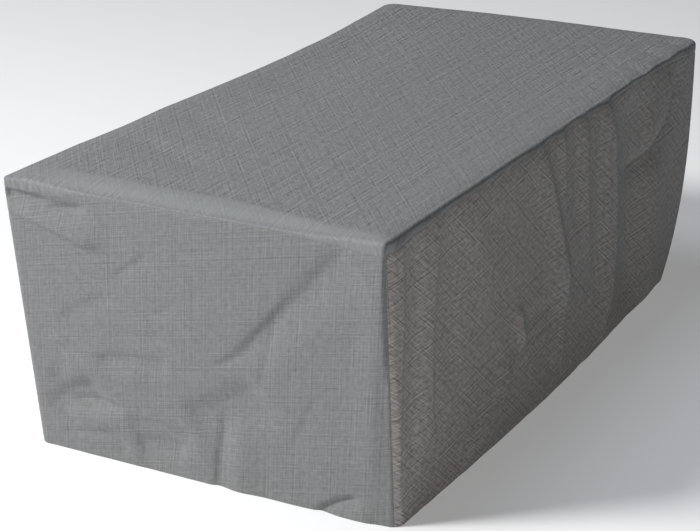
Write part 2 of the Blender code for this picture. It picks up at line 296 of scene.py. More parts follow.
@dataclass(frozen=True)
class Corner:
    """A corner of the cover's outline: sharp points at the seam and at the hem, and their roundings.

    lean is the power by which the corner moves from the one to the other on its way down.
    """

    top: Point2
    hem: Point2
    top_radius: float
    hem_radius: float
    lean: float

    def at(self, drop: float) -> tuple[np.ndarray, float]:
        """Find the corner at a level.

        Args:
            drop: Share of the way from the seam to the hem.

        Returns:
            Its sharp point and its radius.
        """
        share = drop**self.lean
        point = np.array(self.top) * (1 - share) + np.array(self.hem) * share
        return point, self.top_radius * (1 - share) + self.hem_radius * share


@dataclass(frozen=True)
class LinenPrint:
    """Directions and spacings of the linen look's two sets of threads on one panel.

    Angles are in degrees from the panel's right. A pitch is from thread to thread, and a run is the
    length over which a thread fades in and out. The ink is how strongly the print shows.
    """

    weft_angle: float
    warp_angle: float
    weft_pitch: float
    warp_pitch: float
    ink: float = 1.0
    run: float = 0.110
    fresher: float = 0.0  # how much stronger the ink is where the cloth is less weathered

    def coordinates(self, places: np.ndarray, ink: np.ndarray, warp: bool) -> np.ndarray:
        """Lay one set of threads over a panel.

        Args:
            places: Points on the panel, with the two coordinates on the last axis.
            ink: Share of the ink that is left at each of them.
            warp: True for the warp, and False for the weft.

        Returns:
            Across the threads in pitches, along them in runs, and the ink.
        """
        angle = math.radians(self.warp_angle if warp else self.weft_angle)
        pitch = self.warp_pitch if warp else self.weft_pitch
        along = places[..., 0] * math.cos(angle) + places[..., 1] * math.sin(angle)
        across = places[..., 1] * math.cos(angle) - places[..., 0] * math.sin(angle)
        fresh = 1.0 + self.fresher * smooth((places[..., 0] - FRESH_FROM) / FRESH_LENGTH)
        return np.stack((across / pitch, along / self.run, self.ink * ink * fresh), -1)


@dataclass(frozen=True)
class Edge:
    """One side of the outline, between two corners in the order in which the walls run round.

    The bows push the middle of its top and of its hem outwards, the sag lowers its edge, and peak says
    how far along they are greatest. The rise is how much nearer to the top its seam lies along the
    wall than at its corners.
    """

    outward: Point2
    top_bow: float
    hem_bow: float
    sag: float
    peak: float
    rise: float
    folds: tuple[Fold, ...]

    def along(self, points: np.ndarray) -> np.ndarray:
        """Distance of points from the wall's middle, to the right as seen from outside."""
        return points @ turned(np.array(self.outward), math.pi / 2)


@dataclass(frozen=True)
class Outline:
    """The cover's outline from above, whose shape changes from the seam down to the hem."""

    corners: tuple[Corner, ...]
    edges: tuple[Edge, ...]

    @functools.cache
    def corner(self, index: int, drop: float, inset: float) -> tuple[np.ndarray, float, float]:
        """Find a corner of the outline.

        Args:
            index: The corner's number.
            drop: Share of the way from the seam to the hem.
            inset: How far within the cover's own outline it lies.

        Returns:
            Its sharp point, its radius and its turn in radians.
        """
        found = [self.corners[(index + step) % 4].at(drop) for step in (-1, 0, 1)]
        before, (point, radius), after = found
        incoming, outgoing = point - before[0], after[0] - point
        incoming, outgoing = (step / np.linalg.norm(step) for step in (incoming, outgoing))
        outwards = turned(incoming, -math.pi / 2), turned(outgoing, -math.pi / 2)
        inner = point - inset * (outwards[0] + outwards[1]) / (1 + outwards[0] @ outwards[1])
        return inner, max(radius - inset, 0.0), math.acos(float(incoming @ outgoing))

    @functools.cache
    def half_length(self, index: int) -> float:
        """Half the length of a wall's seam between its sharp corner points."""
        start, end = self.corners[index].top, self.corners[(index + 1) % 4].top
        return float(np.linalg.norm(np.subtract(end, start))) / 2

    def share_along(self, index: int, along: np.ndarray) -> np.ndarray:
        """Spread a wall's bow and sag along it.

        Args:
            index: The wall's number.
            along: Distances from the wall's middle.

        Returns:
            Their share at each distance: none at the wall's ends, and 1 at its peak.
        """
        half = self.half_length(index)
        share = np.clip((along + half) / (2 * half), 0.0, 1.0)
        warped = share ** (math.log(0.5) / math.log(self.edges[index].peak))
        return 16 * (warped * (1 - warped)) ** 2

    def seam_drop(self, index: int, along: np.ndarray) -> np.ndarray:
        """Drop from the top of the cover to a wall's seam, before the sag."""
        from_corner = self.half_length(index) - np.abs(along)
        return RIM_DROP - self.edges[index].rise * smooth(from_corner / RISE_LENGTH)

    def round_corner(
        self, corner: tuple[np.ndarray, float, float], direction: np.ndarray, length: float, side: int
    ) -> tuple[np.ndarray, np.ndarray]:
        """Walk round a corner from its middle, along one of its two walls.

        Args:
            corner: Sharp point, radius and turn.
            direction: The wall's own direction.
            length: Distance from the corner's middle, along the outline.
            side: 1 where the wall starts at the corner, and -1 where it ends there.

        Returns:
            The point and its outward direction.
        """
        point, radius, turn = corner
        outward = turned(direction, -math.pi / 2)
        tangent = radius * math.tan(turn / 2)
        half_arc = radius * turn / 2
        if length >= half_arc:
            return point + side * direction * (tangent + length - half_arc), outward
        centre = point + side * direction * tangent - outward * radius
        radial = turned(outward, -side * (half_arc - length) / radius)
        return centre + radial * radius, radial


def pucker(index: int, along: np.ndarray) -> np.ndarray:
    """Draw the small waves that a seam's stitches pull into both of its edges.

    Args:
        index: The seam's number, which sets where its puckers are high and low.
        along: Distances along it.

    Returns:
        The height of the puckers at each of them.
    """
    # Two slow waves of unrelated lengths make the puckers' height uneven, and a third their spacing.
    phase = 2 * math.pi * along / PUCKER_LENGTH
    uneven = 0.55 + 0.45 * np.sin(7.3 * along + 1.7 * index) * np.sin(19.0 * along + index)
    return PUCKER_HEIGHT * uneven * np.sin(phase + 2.2 * np.sin(phase * 0.23 + index))


def groove(distance: np.ndarray) -> np.ndarray:
    """How far a seam draws the cloth in, at a distance from it."""
    return -GROOVE_DEPTH * np.exp(-((distance / GROOVE_REACH) ** 2))


def graded(length: float, pitch: float) -> np.ndarray:
    """Divide a length into steps that grow from a fine one at its start.

    Args:
        length: The length to divide.
        pitch: The largest step.

    Returns:
        The shares of the length at each division, from 0 to 1.
    """
    step, grown = FINEST_ROW, [0.0]
    while step < pitch:
        grown.append(grown[-1] + step)
        step *= ROW_GROWTH
    count = max(int(round((length - grown[-1]) / pitch)), 1)
    return np.concatenate((grown[:-1], np.linspace(grown[-1], length, count + 1))) / length


def sheet_mesh(name: str, outer: np.ndarray, thickness: np.ndarray, radials: np.ndarray) -> bpy.types.Mesh:
    """Make a closed thin sheet from a grid of points of its outer face.

    Args:
        name: The mesh's name.
        outer: The grid, as (columns, rows, 3).
        thickness: Thickness at each of its points.
        radials: Level outward directions, along which the sheet's own edges are cut square.

    Returns:
        The mesh, with smooth faces and sharp edges round its rim.
    """
    columns, rows = outer.shape[:2]
    normal = np.cross(np.gradient(outer, axis=0), np.gradient(outer, axis=1))
    for edge in (np.s_[0, :], np.s_[-1, :], np.s_[:, 0], np.s_[:, -1]):
        normal[edge][..., :2] = radials[edge]
        normal[edge][..., 2] = 0.0
    normal /= np.linalg.norm(normal, axis=-1, keepdims=True)
    back = outer - thickness[..., None] * normal
    count = columns * rows
    number = np.arange(count).reshape(columns, rows)
    quads = np.stack((number[:-1, :-1], number[1:, :-1], number[1:, 1:], number[:-1, 1:]), -1)
    quads = quads.reshape(-1, 4)
    loop = np.concatenate((number[:, 0], number[-1, 1:], number[-2::-1, -1], number[0, -2:0:-1]))
    after = np.roll(loop, -1)
    rim = np.stack((after, loop, loop + count, after + count), -1)
    faces = np.concatenate((quads, quads[:, ::-1] + count, rim))
    mesh = bpy.data.meshes.new(name)
    mesh.from_pydata(np.concatenate((outer.reshape(-1, 3), back.reshape(-1, 3))), [], faces)
    mesh.validate()
    mesh.shade_smooth()
    mesh.set_sharp_from_angle(angle=SHARP_EDGE)
    return mesh


def keep_values(mesh: bpy.types.Mesh, name: str, values: np.ndarray) -> None:
    """Keep numbers or vectors on both faces of a sheet.

    Args:
        mesh: The sheet's mesh.
        name: The attribute's name.
        values: The values at its outer face's grid, with a vector's parts on a third axis.
    """
    kind, key = ("FLOAT", "value") if values.ndim == 2 else ("FLOAT_VECTOR", "vector")
    attribute = mesh.attributes.new(name, kind, "POINT")
    attribute.data.foreach_set(key, np.concatenate((values, values)).astype(np.float32).ravel())


def add(tree: Tree, kind: str, settings: dict, links: dict) -> bpy.types.Node:
    """Add a node to a tree.

    Args:
        tree: The node tree.
        kind: The node's type.
        settings: Values by name, for its properties and for its unlinked sockets.
        links: Output sockets by the input that each one feeds.

    Returns:
        The new node.
    """
    node = tree.nodes.new(kind)
    for key, value in settings.items():
        if isinstance(key, str) and hasattr(node, key):
            setattr(node, key, value)
        else:
            node.inputs[key].default_value = value
    for key, output in links.items():
        tree.links.new(output, node.inputs[key])
    return node


@dataclass(frozen=True)
class CoatedPolyester:
    """Woven polyester with a polyurethane coat, printed with a linen look.

    The coat makes it a dull, even grey with only a faint sheen. The print gives the eye fine, broken
    threads in two directions, pale and dark, that fade in and out.
    """

    ground: str = "#808181"
    pale_thread: str = "#999a9a"
    dark_dash: str = "#5e5f5e"
    roughness: float = 0.80
    ior: float = 1.46
    sheen: float = 0.04
    sheen_roughness: float = 0.5
    waves_per_pitch: float = 2.4  # of the noise that spaces the threads unevenly
    fade_waves: Point2 = (0.6, 1.0)  # of their fading in and out, to a pitch and a run
    dash_share: float = 5.0  # short dashes to a thread's run
    full_tone: float = 8.0  # the tone at which a thread has its whole colour
    line_tone: float = 1.45  # most of that tone in a long thread, and in a short dash
    dash_tone: float = 1.15
    faded: float = 0.3  # share of its tone to which a thread fades, and to which it swells
    swollen: float = 1.7
    weft_offset: float = 3.1  # these move each noise to a part of its own
    warp_offset: float = 11.7
    dash_offset: float = 5.0
    offset_along: float = 0.37  # share of such a move that is made along the threads
    highlight_tone: float = 3.4  # how much paler the cloth is under the painted highlight along the top's rolled near edge
    grain_size: float = 0.0016  # the weave's own 0.5 mm, drawn coarser so that it shows
    grain_depth: float = 0.00004

    def noise(self, tree: Tree, place: Socket, scale: Point2, offset: float) -> Socket:
        """Stretch a plane noise over the threads.

        Args:
            tree: The material's node tree.
            place: The threads' coordinates.
            scale: Waves to a pitch and to a run.
            offset: Moves the noise.

        Returns:
            The noise.
        """
        shift = (offset, self.offset_along * offset, 0.0)
        stretch = {"operation": "MULTIPLY_ADD", 1: (*scale, 0.0), 2: shift}
        moved = add(tree, "ShaderNodeVectorMath", stretch, {0: place})
        settings = {"noise_dimensions": "2D", "Scale": 1.0, "Detail": 1.0, "Roughness": 0.6}
        return add(tree, "ShaderNodeTexNoise", settings, {"Vector": moved.outputs["Vector"]}).outputs["Fac"]

    def threads(self, tree: Tree, attribute: str, offset: float) -> Socket:
        """Draw one set of uneven threads.

        Args:
            tree: The material's node tree.
            attribute: The mesh attribute that holds the set's coordinates.
            offset: Moves the noise, so that the two sets differ.

        Returns:
            The tone of the threads: below zero where dark, and above zero where pale.
        """
        place = add(tree, "ShaderNodeAttribute", {"attribute_name": attribute}, {}).outputs["Vector"]
        split = add(tree, "ShaderNodeSeparateXYZ", {}, {"Vector": place})
        spacing = {"operation": "MULTIPLY_ADD", 1: self.waves_per_pitch, 2: offset}
        across = add(tree, "ShaderNodeMath", spacing, {0: split.outputs["X"]})
        settings = {"noise_dimensions": "1D", "Scale": 1.0, "Detail": 1.0, "Roughness": 0.8}
        line = add(tree, "ShaderNodeTexNoise", settings, {"W": across.outputs["Value"]}).outputs["Fac"]
        fade = self.noise(tree, place, self.fade_waves, offset)
        dash = self.noise(tree, place, (self.waves_per_pitch, self.dash_share), self.dash_offset + offset)
        # Each noise, the two limits within which it mostly lies, and what they become.
        spread = (
            (line, 0.37, 0.63, -self.line_tone, self.line_tone),
            (fade, 0.30, 0.70, self.faded, self.swollen),
            (dash, 0.34, 0.66, -self.dash_tone, self.dash_tone),
        )
        lines, strength, dashes = (
            add(tree, "ShaderNodeMapRange", dict(enumerate(limits, 1)), {"Value": value}).outputs["Result"]
            for value, *limits in spread
        )
        both = add(tree, "ShaderNodeMath", {"operation": "MULTIPLY_ADD"}, {0: lines, 1: strength, 2: dashes})
        ink = {0: both.outputs["Value"], 1: split.outputs["Z"]}
        return add(tree, "ShaderNodeMath", {"operation": "MULTIPLY"}, ink).outputs["Value"]

    def colour(self, tree: Tree) -> Socket:
        """Mix the cloth's colour: the dark dashes over the ground, and the pale threads over both.

        Args:
            tree: The material's node tree.

        Returns:
            The colour.
        """
        weft = self.threads(tree, "weft_threads", self.weft_offset)
        warp = self.threads(tree, "warp_threads", self.warp_offset)
        both = add(tree, "ShaderNodeMath", {"operation": "ADD"}, {0: weft, 1: warp})
        # Painted highlight: a pale band where light catches the top's rolled near edge.
        rubbed = add(tree, "ShaderNodeAttribute", {"attribute_name": "rubbed"}, {})
        paler = {"operation": "MULTIPLY_ADD", 1: self.highlight_tone}
        tone = add(tree, "ShaderNodeMath", paler, {0: rubbed.outputs["Fac"], 2: both.outputs["Value"]})
        cloth = None
        for end, colour in ((-self.full_tone, self.dark_dash), (self.full_tone, self.pale_thread)):
            limits = {1: 0.0, 2: end, 3: 0.0, 4: 1.0}
            shade = add(tree, "ShaderNodeMapRange", limits, {"Value": tone.outputs["Value"]})
            colours = {"data_type": "RGBA", 6: linear(self.ground), 7: linear(colour)}
            mixed = add(tree, "ShaderNodeMix", colours, {0: shade.outputs["Result"]})
            if cloth:
                tree.links.new(cloth, mixed.inputs[6])
            cloth = mixed.outputs[2]
        return cloth

    def build(self) -> bpy.types.Material:
        """Make the material.

        Returns:
            The material.
        """
        material = bpy.data.materials.new("polyurethane_coated_polyester")
        material.use_nodes = True
        tree = material.node_tree
        shader = tree.nodes["Principled BSDF"]
        shader.inputs["Roughness"].default_value = self.roughness
        shader.inputs["IOR"].default_value = self.ior
        shader.inputs["Sheen Weight"].default_value = self.sheen
        shader.inputs["Sheen Roughness"].default_value = self.sheen_roughness
        tree.links.new(self.colour(tree), shader.inputs["Base Color"])
        place = add(tree, "ShaderNodeTexCoord", {}, {}).outputs["Object"]
        settings = {"Scale": 1.0 / self.grain_size, "Detail": 1.0}
        grain = add(tree, "ShaderNodeTexNoise", settings, {"Vector": place}).outputs["Fac"]
        bump = add(tree, "ShaderNodeBump", {"Strength": 1.0, "Distance": self.grain_depth}, {"Height": grain})
        tree.links.new(bump.outputs["Normal"], shader.inputs["Normal"])
        material.diffuse_color = linear(self.ground)
        return material


CREASE, LAP = Form.CREASE, Form.LAP

# The folds of each panel. A row's columns are its start, bend, end, width, height and form, in
# millimetres. A row with no form is a soft one.
NEAR_END_FOLDS = fold_table(
    ((420, 700), (270, 530), (70, 300), 60, -7.5, LAP),  # long slanting trough
    ((460, 620), (270, 440), (80, 250), 60, 3),  # swell below it
    ((170, 300), (60, 215), (-60, 165), 90, -11, LAP),  # where it runs out
    ((480, 700), (450, 450), (430, 50), 35, 4),  # swell beside the near corner
    ((55, 220), (35, 100), (15, -60), 30, -5, LAP),  # runs out at the hem
    ((90, 200), (100, 100), (80, -60), 35, 4),
    ((-260, 648), (-400, 656), (-600, 666), 36, -8, LAP),  # under the seam
    ((-580, 640), (-400, 610), (-220, 550), 34, 7, LAP),
    ((-440, 220), (-370, 160), (-240, 150), 28, -6),  # crumples near the hem
    ((-400, 240), (-280, 220), (-120, 260), 35, 5),
    ((-390, 100), (-310, 120), (-230, 90), 30, 5),
    ((-20, 120), (-120, 110), (-230, 120), 55, -7, LAP),
    ((410, 62), (320, 45), (270, -30), 22, -6, LAP),  # lift of the hem
    ((300, -50), (370, 10), (440, 10), 30, 4),
    ((505, 450), (495, 200), (490, -120), 50, -8),  # draws in to the corner
    # finer creases
    ((270, 560), (175, 430), (40, 315), 20, -2.6, LAP),
    ((210, 500), (190, 400), (140, 250), 16, -1.8, LAP),  # branch
    ((140, 395), (100, 345), (20, 320), 12, -2.2, LAP),
    ((50, 180), (35, 90), (15, -20), 14, -1.6, LAP),
    ((400, 58), (330, 45), (285, 0), 10, -3, LAP),
    ((130, 115), (160, 85), (200, 55), 8, -1.6, CREASE),
    ((220, 30), (150, 55), (50, 30), 14, -1.8, CREASE),
    ((-380, 662), (-430, 664), (-560, 674), 16, -4.4, LAP),
    ((-270, 664), (-330, 646), (-390, 640), 13, -3.4, LAP),
    ((-480, 625), (-350, 595), (-240, 552), 20, 4.6, LAP),
    ((-70, 300), (-180, 295), (-310, 270), 34, -6, LAP),
    ((-430, 305), (-350, 292), (-250, 275), 16, 3.6, LAP),
    ((-220, 148), (-290, 160), (-390, 140), 24, -7, LAP),
    ((-240, 78), (-330, 70), (-420, 50), 14, -3.6, LAP),
    ((-220, 30), (-250, 60), (-280, 110), 20, -3.6, LAP),
    ((-110, 570), (-170, 535), (-220, 490), 20, -3.4, LAP),
    ((-50, 450), (-90, 435), (-130, 420), 12, -1.4, LAP),
    ((10, 500), (0, 480), (0, 440), 10, -1.4, CREASE),
    ((380, 655), (420, 640), (450, 600), 18, 3, LAP),
    ((-220, 440), (-300, 430), (-400, 340), 30, -3.2, LAP),
    ((-280, 205), (-375, 175), (-450, 100), 58, -9, LAP),
    ((-50, 75), (-130, 85), (-210, 60), 50, -9, LAP),
    ((-80, 380), (-160, 340), (-240, 360), 26, -2.6, LAP),
    ((300, 300), (270, 220), (220, 140), 20, -1.6, LAP),
)
RIGHT_SIDE_FOLDS = fold_table(
    ((-1050, 686), (0, 690), (1050, 684), 20, -3),  # tuck under the rolled edge
    ((-960, 740), (-955, 550), (-948, 330), 14, -8),  # groove at the near corner
    ((-905, -40), (-895, 360), (-892, 760), 34, 4, LAP),
    ((-830, 760), (-832, 400), (-835, -40), 30, -4),
    ((-740, 100), (-780, 420), (-700, 740), 52, 6, LAP),
    ((-650, 700), (-660, 450), (-640, 200), 45, -4),
    ((-560, 720), (-500, 500), (-400, 360), 70, 5),
    ((-10, 200), (20, 380), (-190, 760), 60, 11, LAP),
    ((-8, 20), (-5, 180), (5, 440), 40, 7, LAP),
    ((0, 480), (-10, 620), (-10, 760), 28, 5, LAP),
    ((70, 760), (70, 560), (80, 360), 28, -5),
    ((165, 280), (140, 520), (132, 760), 40, 6, LAP),
    ((215, 740), (215, 500), (230, 100), 30, -4),
    ((305, -10), (368, 360), (262, 780), 70, 16, LAP),
    ((470, 740), (500, 360), (495, -20), 90, -18),
    ((640, 460), (680, 260), (700, -60), 80, 10),
    ((830, 720), (790, 400), (380, 470), 44, -12, LAP),
    ((560, 540), (700, 520), (740, 680), 50, 9),
    ((-230, 210), (-300, 260), (-260, 330), 28, 9, LAP),  # small curl
    ((-230, 280), (-140, 240), (-30, 270), 28, -5),
    ((-640, 20), (-400, 60), (-280, 240), 55, 5, LAP),
    # finer creases
    ((-964, 730), (-961, 550), (-955, 360), 7, -3.6, CREASE),
    ((-898, 20), (-890, 350), (-890, 680), 18, 1, LAP),
    ((-750, 180), (-785, 430), (-705, 670), 24, 1.2, LAP),
    ((-600, 360), (-610, 520), (-590, 660), 16, 1.2, LAP),
    ((-610, 600), (-560, 640), (-490, 680), 12, 1.4, LAP),
    ((-5, 260), (12, 380), (-155, 660), 34, 2.6, LAP),
    ((-4, 60), (0, 180), (8, 400), 18, 2.2, LAP),
    ((-4, 520), (-10, 600), (-10, 700), 14, 2, LAP),
    ((160, 340), (140, 520), (135, 700), 20, 2, LAP),
    ((305, 0), (375, 360), (278, 740), 26, 3, LAP),
    ((205, 10), (220, 100), (210, 220), 20, 2, LAP),
    ((690, 10), (700, 80), (680, 180), 22, 2.6, LAP),
    ((815, 700), (780, 410), (420, 470), 14, -2.6, LAP),
    ((700, 540), (740, 600), (730, 690), 16, 2.8, LAP),
    ((600, 560), (640, 620), (630, 690), 14, 2.2, LAP),
    ((-232, 225), (-292, 262), (-268, 318), 12, 4.4, LAP),
    ((-230, 215), (-120, 200), (0, 205), 12, -3.4, CREASE),
    ((-200, 345), (-150, 330), (-110, 300), 12, -1.6, CREASE),
    ((-580, 40), (-420, 80), (-290, 210), 32, 8, LAP),
    ((-520, 200), (-440, 210), (-360, 200), 12, 1.2, CREASE),
    ((-270, 620), (-230, 660), (-170, 690), 22, 2.8, LAP),
    ((-860, 100), (-820, 160), (-770, 200), 18, 1.8, LAP),
    ((160, 704), (360, 708), (560, 700), 12, -5),
    ((600, 700), (760, 704), (900, 692), 12, -4.5),
    ((870, 580), (895, 640), (890, 700), 22, 4, LAP),
)
FAR_END_FOLDS = fold_table(
    ((-330, 760), (-340, 500), (-300, 100), 50, 8),
    ((-210, 740), (-200, 450), (-170, 150), 50, -6),
    ((-20, 760), (50, 480), (30, -60), 55, 8),
    ((330, 720), (180, 460), (120, 200), 45, -7),
    ((390, 700), (330, 300), (350, -50), 55, 7),
    # finer creases
    ((310, 680), (190, 460), (130, 240), 12, -2, CREASE),
    ((-30, 700), (40, 480), (30, 20), 14, 1.8, LAP),
    ((-400, 200), (-300, 160), (-210, 200), 12, -1.6, CREASE),
)
LEFT_SIDE_FOLDS = fold_table(
    ((-760, 760), (-740, 400), (-700, -50), 60, 9),
    ((-600, 740), (-590, 450), (-560, 100), 55, -7),
    ((-420, 760), (-400, 380), (-360, -80), 60, 12),
    ((-260, 740), (-250, 420), (-200, 50), 50, -6),
    ((-60, 760), (20, 480), (120, 160), 55, 9),
    ((300, 720), (240, 400), (260, -50), 60, 8),
    ((520, 700), (440, 360), (360, 40), 55, -6),
    ((680, 760), (690, 460), (660, 100), 60, 7),
    # finer creases
    ((-410, 700), (-395, 380), (-370, 0), 16, 2.4, LAP),
    ((-50, 680), (20, 480), (100, 220), 14, 2, LAP),
    ((500, 660), (440, 360), (380, 100), 12, -1.8, CREASE),
    ((-180, 220), (-80, 170), (10, 210), 12, -1.6, CREASE),
)
TOP_FOLDS = fold_table(
    ((-972, 470), (-968, 20), (-978, -470), 52, -6),  # fall to the near edge
    ((-1250, 500), (-800, 500), (-300, 500), 50, -7),  # and to the left edge
    ((-720, 80), (-680, 220), (-550, 460), 45, -3),
    ((-500, 120), (-440, 280), (-270, 460), 50, -2.5),
    ((-845, 240), (-855, -50), (-845, -360), 30, -2),
    ((250, -440), (560, -420), (900, -430), 50, 2),
    ((-100, 360), (330, 300), (720, 380), 120, -5),
    # finer creases
    ((-960, 450), (-958, 0), (-962, -470), 30, -3.5),  # the soft near edge
    ((460, -540), (480, -480), (460, -400), 18, 2),
    ((550, -540), (570, -480), (600, -400), 20, -3),
    ((640, -540), (640, -470), (620, -380), 20, 2.8),
    ((730, -540), (740, -470), (760, -390), 22, -3.4),
    ((810, -540), (820, -470), (800, -400), 18, 2.4),
    ((890, -540), (880, -460), (900, -400), 18, -2.2),
)

OUTLINE = Outline(
    corners=(
        Corner((-0.971, 0.505), (-0.903, 0.490), 0.018, 0.026, 1.0),
        Corner((-0.970, -0.493), (-0.901, -0.490), 0.012, 0.036, 1.0),
        Corner((0.988, -0.509), (0.896, -0.478), 0.046, 0.056, 3.2),
        Corner((0.968, 0.495), (0.888, 0.478), 0.044, 0.055, 2.0),
    ),
    edges=(
        Edge((-1, 0), 0.002, 0.004, 0.001, 0.50, 0.018, NEAR_END_FOLDS),
        Edge((0, -1), -0.004, 0.022, 0.002, 0.47, 0.016, RIGHT_SIDE_FOLDS),
        Edge((1, 0), 0.022, 0.010, 0.001, 0.55, 0.015, FAR_END_FOLDS),
        Edge((0, 1), -0.016, 0.014, 0.013, 0.36, 0.015, LEFT_SIDE_FOLDS),
    ),
)


@dataclass
class Panel:
    """One panel of the cover, as a thin closed sheet on a grid of columns and rows.

    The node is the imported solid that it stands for.
    """

    name: str
    node: str
    linen: LinenPrint
    rumple: Rumple
    outline: ClassVar[Outline] = OUTLINE

    def shape(self) -> tuple[np.ndarray, np.ndarray, np.ndarray]:
        """Grid of the outer face, outward directions there, and places on the panel."""
        raise NotImplementedError

    def flat(self) -> tuple[float, float, float]:
        """The two sides of the piece as it is cut, and its area."""
        raise NotImplementedError

    def thickness(self, outer: np.ndarray) -> np.ndarray:
        """Thickness of the cloth at the points of the outer face."""
        return np.full(outer.shape[:2], SHEET)

    def highlight_strength(self, outer: np.ndarray) -> np.ndarray:
        """Strength of the painted highlight at the points of the outer face, from 0 to 1."""
        return np.zeros(outer.shape[:2])

    def build(self, material: bpy.types.Material) -> bpy.types.Object:
        """Make the panel's sheet and dress it.

        Args:
            material: The cloth.

        Returns:
            The panel's object.
        """
        outer, radials, spot = self.shape()
        mesh = sheet_mesh(self.name, outer, self.thickness(outer), radials)
        # The painted highlight along the top's rolled near edge, which also thins the print's ink there.
        rubbed = self.highlight_strength(outer)
        ink = 1.0 - INK_UNDER_HIGHLIGHT * rubbed
        keep_values(mesh, "weft_threads", self.linen.coordinates(spot, ink, warp=False))
        keep_values(mesh, "warp_threads", self.linen.coordinates(spot, ink, warp=True))
        keep_values(mesh, "rubbed", rubbed)
        mesh.materials.append(material)
        panel = bpy.data.objects.new(self.name, mesh)
        bpy.context.scene.collection.objects.link(panel)
        return panel


@dataclass
class WallPanel(Panel):
    """One wall of the cover: a hanging sheet from its seam under the rim down to its hem."""

    index: int
    pitch: float
    arc_columns: int = 9

    def places(self) -> np.ndarray:
        """Place the columns of the grid.

        Returns:
            Where they stand: -1 to 0 round the first corner, 0 to 1 along the wall, and 1 to 2 round
            the last corner.
        """
        count = int(2 * self.outline.half_length(self.index) / self.pitch)
        first = np.linspace(-1, 0, self.arc_columns + 1)[:-1]
        return np.concatenate((first, np.linspace(0, 1, count + 1), 1 - first[::-1]))

    def column(self, place: float, drop: float) -> tuple[np.ndarray, np.ndarray, float]:
        """Find the wall at a place along it, before its bow and folds.

        Args:
            place: Where the column stands.
            drop: Share of the way from the seam to the hem.

        Returns:
            The point, its outward direction, and its distance from the seam of the nearest corner.
        """
        first, last = (self.outline.corner((self.index + step) % 4, drop, 0.0) for step in (0, 1))
        direction = (last[0] - first[0]) / np.linalg.norm(last[0] - first[0])
        half_arcs = [radius * turn / 2 for _, radius, turn in (first, last)]
        if place < 0:
            length = max((1 + place) * half_arcs[0], SEAM_GAP / 2)
            return *self.outline.round_corner(first, direction, length, 1), length
        if place > 1:
            length = max((2 - place) * half_arcs[1], SEAM_GAP / 2)
            return *self.outline.round_corner(last, direction, length, -1), length
        start, _ = self.outline.round_corner(first, direction, half_arcs[0], 1)
        end, radial = self.outline.round_corner(last, direction, half_arcs[1], -1)
        span = np.linalg.norm(end - start)
        from_seam = min(half_arcs[0] + place * span, half_arcs[1] + (1 - place) * span)
        return start * (1 - place) + end * place, radial, from_seam

    def shape(self) -> tuple[np.ndarray, np.ndarray, np.ndarray]:
        """Hang the wall from its seam.

        Returns:
            The grid of its outer face, the outward directions there, and the places on the panel.
        """
        edge = self.outline.edges[self.index]
        places = self.places()
        drops = graded(-FLOOR, self.pitch)[::-1]
        found = [[self.column(place, drop) for drop in drops] for place in places]
        points = np.array([[point for point, _, _ in column] for column in found])
        radials = np.array([[radial for _, radial, _ in column] for column in found])
        from_corner = np.array([[length for _, _, length in column] for column in found])
        along = edge.along(points)
        share = self.outline.share_along(self.index, along)
        seam = TOP_LEVEL - self.outline.seam_drop(self.index, along) - edge.sag * share - SEAM_GAP
        level = seam * (1 - drops) + FLOOR * drops
        spot = np.stack((along, level - FLOOR), -1)
        hold = smooth(1 + np.minimum(np.minimum(places, 1 - places), 0.0))[:, None]
        lift = hold * fold_heights(edge.folds, spot)
        from_seam = seam - level
        free = smooth(from_seam / SEAM_CALM) * smooth(from_corner / CORNER_CALM)
        lift += free * self.rumple.heights(spot)
        lift += hold * pucker(self.index, along) * np.exp(-from_seam / PUCKER_REACH)
        below = smooth(from_seam / CORNER_PUCKER_START)
        lift += pucker(self.index + 4, level) * np.exp(-from_corner / PUCKER_REACH) * below
        lift += groove(from_seam) + CORNER_DRAW * groove(from_corner) * smooth(from_seam / CORNER_DRAW_START)
        bow = (edge.top_bow * (1 - drops) + edge.hem_bow * drops) * share
        points = points + np.array(edge.outward) * bow[..., None] + radials * lift[..., None]
        return np.concatenate((points, level[..., None]), -1), radials, spot

    def flat(self) -> tuple[float, float, float]:
        """Measure the wall as it is cut, as a trapezium between its seam and its hem.

        Returns:
            Its width, its height and its area.
        """
        first, last = (self.outline.corners[(self.index + step) % 4] for step in (0, 1))
        seam, hem = (math.dist(getattr(first, row), getattr(last, row)) for row in ("top", "hem"))
        lean = math.dist(first.top, first.hem)
        height = math.hypot(-FLOOR - RIM_DROP + self.outline.edges[self.index].rise, lean) * EASE
        return max(seam, hem) * EASE, height, (seam + hem) / 2 * height * EASE

    def thickness(self, outer: np.ndarray) -> np.ndarray:
        """Thickness of the cloth at the points of the outer face, with the hem's second layer."""
        return SHEET + HEM_LAYER * smooth((HEM_WIDTH - (outer[..., 2] - FLOOR)) / HEM_STEP)


@dataclass(frozen=True)
class HighlightBand:
    """The painted highlight: a pale band along the top's near edge, where light catches the cloth rolling
    over the table's edge.
    """

    width: float = 0.045  # at its right end
    widening: float = 0.050  # towards its middle, from a place across the top and over a length
    widens_from: float = -0.42
    widens_over: float = 0.40
    blur: float = 0.022  # over which it begins
    turn_loss: float = 0.35  # share that is missing where the cloth turns down, from there outwards
    turn_from: float = -0.945
    turn_over: float = 0.020
    left_loss: float = 0.6  # share that is missing at its left end, from a place and over a length
    left_from: float = 0.34
    left_over: float = 0.12

    def at(self, x: np.ndarray, y: np.ndarray) -> np.ndarray:
        """Find how strong the painted highlight is on the top.

        Args:
            x: Places along the top.
            y: Places across it.

        Returns:
            The painted highlight's strength at each of them, from 0 to 1.
        """
        width = self.width + self.widening * smooth((y - self.widens_from) / self.widens_over)
        band = smooth((x.min() + width - x) / self.blur + 0.5)
        turn = 1 - self.turn_loss * smooth((self.turn_from - x) / self.turn_over)
        return band * turn * (1 - self.left_loss * smooth((y - self.left_from) / self.left_over))


